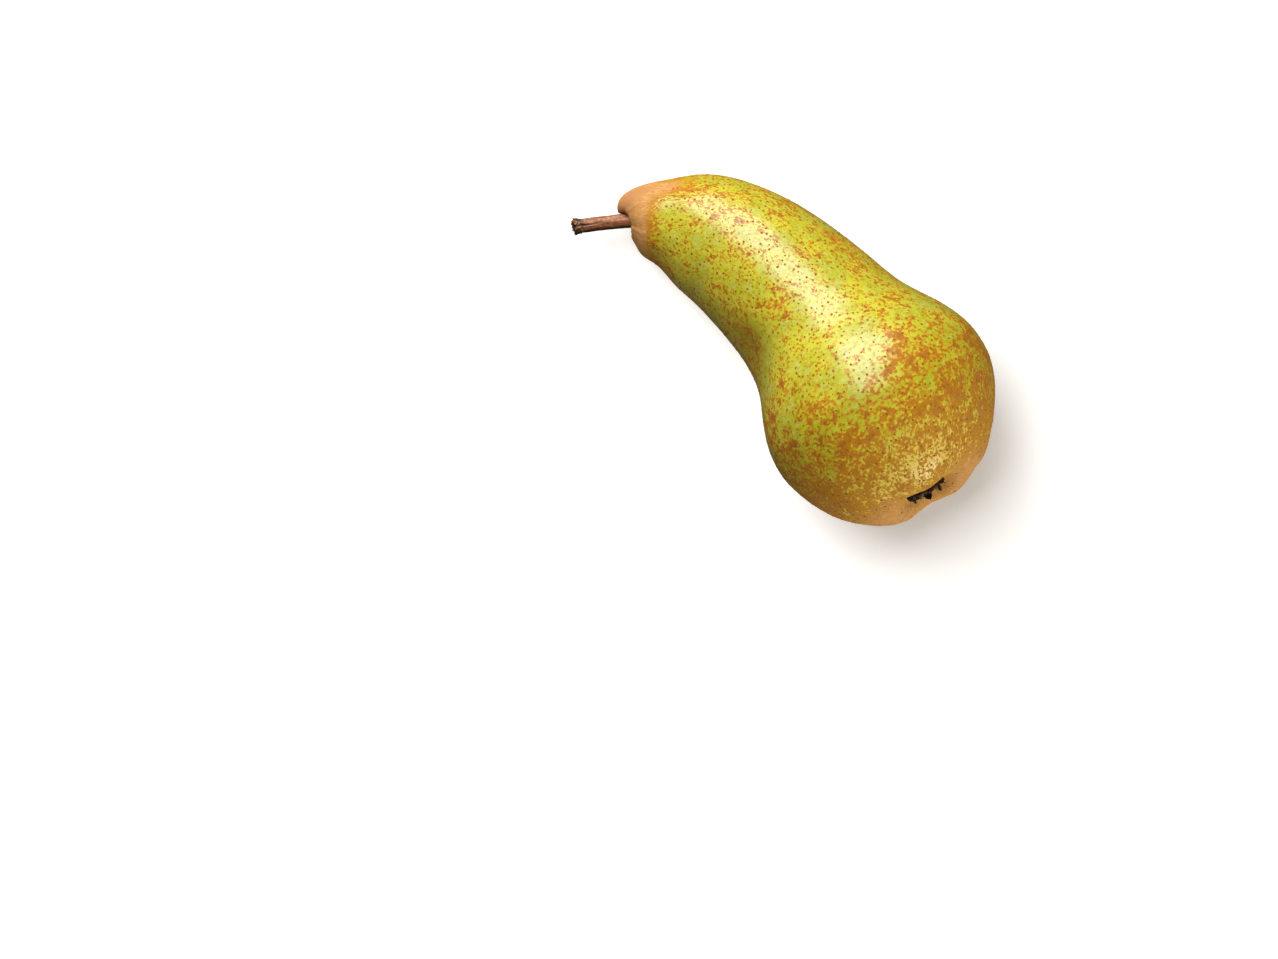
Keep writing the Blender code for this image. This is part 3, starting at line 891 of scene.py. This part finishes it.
stem = grow_mesh(
    "stem_wood", stem_path(), grow_stem, material=bark_material(), rings=170, sides=80,
    length=STEM_LENGTH + STEM_SOCKET_DEPTH - GAP, girth=STEM_RADIUS,
    ridge_width=0.8 * MM, ridge_height=0.16 * MM,
    ridge_draw=0.14,  # the ridges are this share as fine along the stem as across it
    lump_size=4.5 * MM, lump_height=0.25 * MM,
    knob_length=STEM_KNOB_LENGTH + 1.0 * MM,  # its roughness reaches this far past it
    knob_lump_size=1.5 * MM, knob_roughness=3.0 * MM,
    crack_side=tuple(core.read(core.side, CRACK_AT)),
    crack_width=0.16, crack_length=11.0 * MM, crack_depth=0.75 * MM,
    # the side that the bark's painted shade darkens
    dark_side=(-0.56, 0.77, -0.30),
)
stem.data.shade_smooth()
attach(stem, "root")
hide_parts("stem")

# --------------------------------------
# The torn fibres: short splinters of brown wood that still stand on the stem's knob, where it
# was pulled off the spur. They are one mesh, rooted in the knob's bark.

FIBRE_SIDES = 5
FIBRE_POINT = 0.2  # of the splinter's thickness is left at its tip
TORN_WOOD_SIZE = 1.1 * MM


def grow_fibres(tree, given):
    """Sets tapered splinters of torn wood on the knob, leaning out along the stem."""
    at_end = math_of(tree, "LESS_THAN", named(tree, "to_end"), given["reach"])
    spread = {"Mesh": given["Geometry"], "Selection": at_end, "Density": given["density"]}
    spread["Seed"] = given["seed"]
    spots = add_node(tree, "GeometryNodeDistributePointsOnFaces", spread).outputs
    outward = stored(tree, spots["Points"], "outward", spots["Normal"], "FLOAT_VECTOR")
    cone = {"Vertices": FIBRE_SIDES, "Radius Bottom": given["radius"], "Depth": given["length"]}
    cone["Radius Top"] = product(tree, given["radius"], FIBRE_POINT)
    cone = add_node(tree, "GeometryNodeMeshCone", cone).outputs["Mesh"]
    lean = vector_math(tree, "SCALE", named(tree, "outward", "FLOAT_VECTOR"), given["spread"])
    lean = vector_math(tree, "ADD", lean, given["axis"])
    turn = value_of(tree, "FunctionNodeAlignRotationToVector", {"Vector": lean}, axis="Z")
    return copied_on(tree, given, outward, cone, turn)


def torn_wood_material():
    """Dull torn wood, from nearly black to brown."""
    material, tree, shader = new_material("torn_wood")
    place = add_node(tree, "ShaderNodeTexCoord").outputs["Object"]
    worn = noise_of(tree, place, TORN_WOOD_SIZE, 3.0, 0.6)
    colour = mixed(tree, step_of(tree, worn, 0.46, 0.62), BARK_DARK, TORN_WOOD)
    set_inputs(tree, shader, {"Base Color": colour, "Roughness": 0.8})
    return material


fibres = grow_mesh(
    "stem_fibres", stem.data, grow_fibres, material=torn_wood_material(), seed=5,
    density=220000.0,  # to a square metre
    reach=2.8 * MM,  # from the stem's broken end
    length=1.1 * MM, radius=0.24 * MM, axis=tuple(-core.read(core.ahead, -STEM_LENGTH)),
    spread=0.9, smallest=0.4, largest=1.4,
)
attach(fibres, "root")

# --------------------------------------
# The cup of the calyx: the dry, papery tissue that lines the open eye, all that is left of the
# bottom of the blossom. Its root is held in the flesh, and its lip stands round a hollow in
# its middle.

CUP_SIDES = 90
CUP_WALL = 0.5 * MM
CUP_FLOOR = 1.2 * MM
CUP_BRIM_HEIGHT = 1.1 * MM
CUP_LIP_HEIGHT = 0.7 * MM
CUP_LIP_WIDTH = 0.9 * MM
CUP_HOLLOW_RADIUS = 2.3 * MM
CUP_UNEVEN = 0.75 * MM
CUP_UNEVEN_SIZE = 1.4 * MM
DRIED_BLOTCH_SIZE = 1.5 * MM
DRIED_GRAIN_SIZE = 0.3 * MM
DRIED_BUMP = 0.15 * MM
DRIED_BLACK = (0.010, 0.007, 0.005)
DRIED_BROWN = (0.075, 0.038, 0.018)
DRIED_GREY = (0.210, 0.125, 0.070)
DRIED_PALE = (0.560, 0.370, 0.230)


def in_eye(points):
    """Places points given from the middle of the basin's floor, z outwards, in the fruit."""
    points = np.asarray(points, float)
    radius = np.hypot(points[:, 0], points[:, 1])
    phi = np.arctan2(points[:, 1], points[:, 0])
    s, radius = grown(BASIN_FLOOR + points[:, 2], radius, phi)
    return core.place(s, radius, phi)


def dried_material():
    """Dry, papery brown-black tissue with greyer, paler edges and tips."""
    material, tree, shader = new_material("dried_calyx")
    tip = attribute_of(tree, "tip")
    place = add_node(tree, "ShaderNodeTexCoord").outputs["Object"]
    blotched = noise_of(tree, place, DRIED_BLOTCH_SIZE, 4.0, 0.65)
    fine = noise_of(tree, place, DRIED_GRAIN_SIZE, 2.0, 0.7)
    share = sum_of(tree, (0.75, blotched), (0.25, fine), (0.30, tip), (-0.10, None))
    colour = mixed(tree, step_of(tree, share, 0.34, 0.52), DRIED_BLACK, DRIED_BROWN)
    colour = mixed(tree, step_of(tree, share, 0.50, 0.66), colour, DRIED_GREY)
    colour = mixed(tree, step_of(tree, share, 0.68, 0.80), colour, DRIED_PALE)
    bump = bump_of(tree, sum_of(tree, (0.7, blotched), (0.3, fine)), 0.7, DRIED_BUMP)
    look = {"Base Color": colour, "Roughness": 0.8, "Specular IOR Level": 0.1, "Normal": bump}
    set_inputs(tree, shader, look)
    return material


def cup_mesh():
    """A cup with a raised, uneven lip, its root down in the flesh."""
    root = GAP - CALYX_ROOT_DEPTH
    brim = EYE_RADIUS + GAP
    lip = CUP_HOLLOW_RADIUS + CUP_LIP_WIDTH
    outline = [
        (0.3 * CALYX_ROOT_RADIUS, root),
        (0.97 * CALYX_ROOT_RADIUS, root),
        (CALYX_ROOT_RADIUS, root + 0.2 * MM),
        (CALYX_ROOT_RADIUS, GAP - 0.1 * MM),
        (CALYX_ROOT_RADIUS + 0.3 * MM, GAP),
        (0.97 * brim, GAP),
        (brim, GAP + 0.5 * CUP_BRIM_HEIGHT),
        (0.98 * brim, GAP + CUP_BRIM_HEIGHT),
        (0.92 * brim, GAP + CUP_BRIM_HEIGHT),
        (0.80 * brim, GAP + 0.5 * CUP_BRIM_HEIGHT),
        (lip + 0.8 * MM, GAP + 0.6 * CUP_LIP_HEIGHT),
        (lip + 0.2 * MM, GAP + CUP_WALL + 0.9 * CUP_LIP_HEIGHT),
        (lip, GAP + CUP_WALL + CUP_LIP_HEIGHT),
        (lip - 0.4 * MM, GAP + CUP_WALL + 0.9 * CUP_LIP_HEIGHT),
        (CUP_HOLLOW_RADIUS + 0.1 * MM, GAP + CUP_WALL),
        (CUP_HOLLOW_RADIUS, GAP - 0.3 * MM),
        (0.92 * CUP_HOLLOW_RADIUS, root + CUP_FLOOR + 0.5 * MM),
        (0.75 * CUP_HOLLOW_RADIUS, root + CUP_FLOOR),
        (0.3 * CUP_HOLLOW_RADIUS, root + CUP_FLOOR),
    ]
    outline = np.array(outline)
    phi = np.linspace(0.0, 2.0 * np.pi, CUP_SIDES, endpoint=False)
    radius = np.repeat(outline[:, :1], CUP_SIDES, axis=1)
    height = np.repeat(outline[:, 1:], CUP_SIDES, axis=1)
    exposed = ease(height / GAP)
    places = np.stack([radius * np.cos(phi), radius * np.sin(phi), height], axis=-1)
    rough = cloud(places.reshape(-1, 3), CUP_UNEVEN_SIZE, 3).reshape(radius.shape)
    places[..., 2] += CUP_UNEVEN * (0.5 + rough) * exposed
    waves = 0.02 * np.sin(5.0 * phi + 0.6) + 0.02 * np.sin(11.0 * phi) + 0.05 * rough
    places[..., :2] *= (1.0 + waves * exposed)[..., None]
    mesh = mesh_of_rings("eye_cup", in_eye(places.reshape(-1, 3)).reshape(places.shape))
    write_attribute(mesh, "tip", with_ends(np.where(radius > lip, -0.25, -0.10) * exposed))
    return mesh


cup = placed("eye_cup", cup_mesh())
dried = dried_material()
cup.data.materials.append(dried)
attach(cup, "root")
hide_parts("calyx")

# --------------------------------------
# The sepals: the five small green leaves that once closed the bud, now shrivelled, dark and
# papery. They are still rooted round the eye, rise outwards and curl back at their tips.

SEPAL_LENGTH = 4.0 * MM
SEPAL_WIDTH = 2.9 * MM
SEPAL_THICKNESS = 0.32 * MM
SEPAL_LIFT = np.radians(22.0)
SEPAL_CURL = np.radians(115.0)
SEPAL_CUPPING = 0.55
RING_WANDER = (0.35, 1.0, 0.35)  # how much of its lean each of a copy's three turns may have
SEPAL_STEPS = 22
SEPAL_ACROSS = 10


def sepal_mesh():
    """One shrivelled sepal: it rises outwards along +X from its root, then its tip curls back."""
    share = np.linspace(0.0, 1.0, SEPAL_STEPS)
    angle = SEPAL_LIFT + SEPAL_CURL * share**1.6
    step = SEPAL_LENGTH / (SEPAL_STEPS - 1)
    spine_x = np.concatenate([[0.0], np.cumsum(np.cos(angle[:-1]) * step)])
    spine_z = np.concatenate([[0.0], np.cumsum(np.sin(angle[:-1]) * step)])
    half_width = 0.5 * SEPAL_WIDTH * (1.0 - share**2.2) ** 0.8 * (0.75 + 0.5 * share) + 0.12 * MM
    half_width = half_width * (1.0 + 0.12 * np.sin(9.0 * share))
    turn = np.linspace(0.0, 2.0 * np.pi, 2 * SEPAL_ACROSS, endpoint=False)
    rings = np.zeros((SEPAL_STEPS, len(turn), 3))
    for i in range(SEPAL_STEPS):
        across = np.cos(turn) * half_width[i]
        through = np.sin(turn) * 0.5 * SEPAL_THICKNESS * (1.0 - 0.6 * share[i])
        through = through + SEPAL_CUPPING * (across**2) / half_width[i] * (0.4 + 0.6 * share[i])
        through = through + 0.10 * MM * np.sin(3.0 * across / MM + 5.0 * share[i])
        rings[i, :, 0] = spine_x[i] - np.sin(angle[i]) * through
        rings[i, :, 1] = across
        rings[i, :, 2] = spine_z[i] + np.cos(angle[i]) * through
    mesh = mesh_of_rings("sepal", rings)
    write_attribute(mesh, "tip", with_ends(np.repeat(share[:, None], len(turn), axis=1)))
    return mesh


def grow_ring(tree, given):
    """Sets copies evenly on a ring, each turned outwards and a little unlike the next."""
    ring = {"Vertices": given["count"], "Radius": given["ring"]}
    ring = value_of(tree, "GeometryNodeMeshCircle", ring)
    here = value_of(tree, "GeometryNodeInputPosition")
    outward = value_of(tree, "FunctionNodeAlignRotationToVector", {"Vector": here}, axis="X")
    high = vector_math(tree, "SCALE", RING_WANDER, given["lean"])
    low = vector_math(tree, "SCALE", high, -1.0)
    wander = {0: low, 1: high, "Seed": given["seed"]}
    wander = value_of(tree, "FunctionNodeRandomValue", wander, data_type="FLOAT_VECTOR")
    turn = {"Rotation": outward, "Rotate By": wander}
    turn = value_of(tree, "FunctionNodeRotateRotation", turn, rotation_space="LOCAL")
    return copied_on(tree, given, ring, given["Geometry"], turn)


def settle_in_eye(piece, turn, rise):
    """Moves a piece made round the origin to its place, this far over the basin's floor."""
    places = read_vectors(piece.data.vertices)
    spun = np.array(Matrix.Rotation(turn, 3, "Z"))
    places = places @ spun.T + np.array([0.0, 0.0, rise])
    write_points(piece.data, in_eye(places))
    piece.data.shade_smooth()


sepals = grow_mesh(
    "sepals", sepal_mesh(), grow_ring, material=dried, seed=3, count=5, ring=2.9 * MM,
    lean=np.radians(24.0),  # the most that each leans away from its even place
    smallest=0.80, largest=1.10,
)
settle_in_eye(sepals, turn=np.radians(50.0), rise=GAP + 0.3 * MM)
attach(sepals, "root")

# --------------------------------------
# The stamens: withered brown threads, each with the dry anther that held its pollen. They grew
# from the hollow of the cup, and lean in all directions in the eye.

STAMEN_LENGTH = 3.6 * MM
STAMEN_RADIUS = 0.11 * MM
STAMEN_SIDES = 7
STAMEN_BEND = 0.7 * MM
STAMEN_WAVE = 0.15 * MM
ANTHER_RADIUS = 0.24 * MM
ANTHER_FROM = 0.84  # of the stamen's length


def stamen_mesh():
    """One withered stamen: a thin bent stalk that ends in a small swollen anther."""
    share = np.concatenate([np.linspace(0.0, ANTHER_FROM, 9), np.linspace(0.87, 1.0, 6)])
    bud = np.clip((share - ANTHER_FROM) / (1.0 - ANTHER_FROM), 0.0, 1.0)
    swollen = np.sqrt(4.0 * bud * (1.0 - bud))
    radius = STAMEN_RADIUS + (ANTHER_RADIUS - STAMEN_RADIUS) * swollen
    turn = np.linspace(0.0, 2.0 * np.pi, STAMEN_SIDES, endpoint=False)
    rings = np.zeros((len(share), len(turn), 3))
    rings[..., 0] = radius[:, None] * np.cos(turn) + STAMEN_BEND * share[:, None] ** 2
    rings[..., 1] = radius[:, None] * np.sin(turn) + STAMEN_WAVE * np.sin(4.0 * share[:, None])
    rings[..., 2] = STAMEN_LENGTH * share[:, None]
    mesh = mesh_of_rings("stamen", rings)
    write_attribute(mesh, "tip", with_ends(np.repeat(bud[:, None] + 0.25, len(turn), axis=1)))
    return mesh


stamens = grow_mesh(
    "stamens", stamen_mesh(), grow_ring, material=dried, seed=8, count=17, ring=1.5 * MM,
    lean=np.radians(55.0), smallest=0.65, largest=1.15,
)
settle_in_eye(stamens, turn=0.0, rise=-1.2 * MM)
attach(stamens, "root")

# --------------------------------------
# Camera, light and floor: straight down on a white sheet. One soft lamp lights the sheet and
# three the pear: an overhead one, a window to one side and, low opposite it, a white card.

UP_IN_VIEW = np.radians(36.0)
CAMERA_HEIGHT = 1108.0 * MM
PEAR_RIGHT = 42.54 * MM  # of the middle of the view, where the frame's origin lies
PEAR_UP = 44.32 * MM
FLOOR_REACH = 3.0
SHEET_WHITE = (0.80, 0.80, 0.80)
SHEET_BOUNCE = (0.50, 0.43, 0.30)  # what it throws back on the pear
SHEET_IN_GLOSS = (0.03, 0.03, 0.03)  # how little of it the wax mirrors
SHEET_GLOW = (1.0, 0.96, 0.90)
SHEET_GLOW_STRENGTH = 0.42
WORLD_WHITE = (1.0, 1.0, 1.0)
WORLD_STRENGTH = 0.05

bpy.context.scene.view_settings.view_transform = "Standard"
view_right = Vector((-np.cos(UP_IN_VIEW), -np.sin(UP_IN_VIEW), 0.0))
view_up = Vector((np.sin(UP_IN_VIEW), -np.cos(UP_IN_VIEW), 0.0))
camera_data = bpy.data.cameras.new("camera")
camera_data.lens = 100.0
camera_data.sensor_width = 36.0
camera = placed("camera", camera_data)
camera_place = -PEAR_RIGHT * view_right - PEAR_UP * view_up + Vector((0.0, 0.0, CAMERA_HEIGHT))
camera_turn = Matrix((view_right, view_up, (0.0, 0.0, 1.0))).transposed()
camera.matrix_world = Matrix.Translation(camera_place) @ camera_turn.to_4x4()
bpy.context.scene.camera = camera

floor_mesh = bpy.data.meshes.new("floor")
floor_corners = [(-1, -1), (1, -1), (1, 1), (-1, 1)]
floor_corners = [(x * FLOOR_REACH, y * FLOOR_REACH, 0.0) for x, y in floor_corners]
floor_mesh.from_pydata(floor_corners, [], [(0, 1, 2, 3)])
floor_material, floor_tree, floor_shader = new_material("white_sheet")
ray = add_node(floor_tree, "ShaderNodeLightPath").outputs
sheet = mixed(floor_tree, ray["Is Glossy Ray"], SHEET_BOUNCE, SHEET_IN_GLOSS)
sheet = mixed(floor_tree, ray["Is Camera Ray"], sheet, SHEET_WHITE)
glow = product(floor_tree, ray["Is Camera Ray"], SHEET_GLOW_STRENGTH)
sheet = {"Base Color": sheet, "Roughness": 0.9, "Emission Color": SHEET_GLOW}
set_inputs(floor_tree, floor_shader, {**sheet, "Emission Strength": glow})
floor_mesh.materials.append(floor_material)
floor = placed("floor", floor_mesh)


def add_lamp(name, direction, distance, size, power, state, objects):
    """Adds a square lamp facing the origin that lights only (INCLUDE) or skips (EXCLUDE) these."""
    lamp_data = bpy.data.lights.new(name, "AREA")
    lamp_data.shape = "SQUARE"
    lamp_data.size = size
    lamp_data.energy = power
    lamp = placed(name, lamp_data)
    lamp.location = distance * Vector(direction).normalized()
    lamp.rotation_euler = Vector(direction).to_track_quat("Z", "Y").to_euler()
    lit = bpy.data.collections.new(name + "_lights")
    for item in objects:
        lit.objects.link(item)
    for item in lit.collection_objects:
        item.light_linking.link_state = state
    lamp.light_linking.receiver_collection = lit


# Each lamp's direction, distance, size and power, and what it lights only or skips.
add_lamp("sheet_lamp", (0.400, -0.060, 0.915), 1.3, 0.8, 23.0, "INCLUDE", [floor])
add_lamp("key_lamp", (0.368, -0.175, 0.914), 1.3, 0.6, 8.0, "EXCLUDE", [floor])
add_lamp("window_lamp", (0.687, -0.498, 0.530), 1.3, 0.9, 22.0, "EXCLUDE", [floor])
add_lamp("card_lamp", (-0.960, 0.245, 0.130), 1.0, 0.6, 11.5, "EXCLUDE", [floor, stem, fibres])

world = bpy.data.worlds.new("studio")
world.use_nodes = True
sky = {"Color": WORLD_WHITE, "Strength": WORLD_STRENGTH}
set_inputs(world.node_tree, world.node_tree.nodes["Background"], sky)
bpy.context.scene.world = world

bpy.context.view_layer.update()
